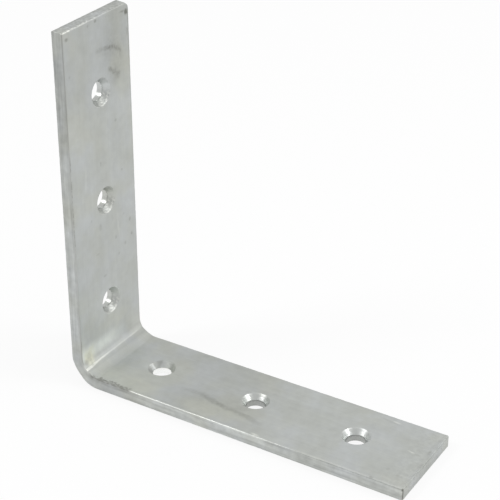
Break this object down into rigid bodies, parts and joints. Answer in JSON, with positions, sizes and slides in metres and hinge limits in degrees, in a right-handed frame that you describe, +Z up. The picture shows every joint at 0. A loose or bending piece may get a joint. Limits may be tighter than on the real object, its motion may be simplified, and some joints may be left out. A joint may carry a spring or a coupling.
{
  "type": "corner brace bracket",
  "caption": "Right-angled corner brace bent from a flat steel bar, with countersunk screw holes through both legs.",
  "frame": {"origin": "the point where the planes of the two outside faces meet, at the middle of the bar's width", "axes": "+X along the foot, away from the heel; +Y across the bar's width; +Z up the upright"},
  "size_m": [0.15, 0.04, 0.15],
  "materials": {
    "zinc_plated_steel": "satin bright zinc plating over rolled steel, with faint rolling lines, handling marks and bare bright edges"
  },
  "bodies": {
    "root": {"bracket": "zinc_plated_steel"}
  },
  "joints": []
}
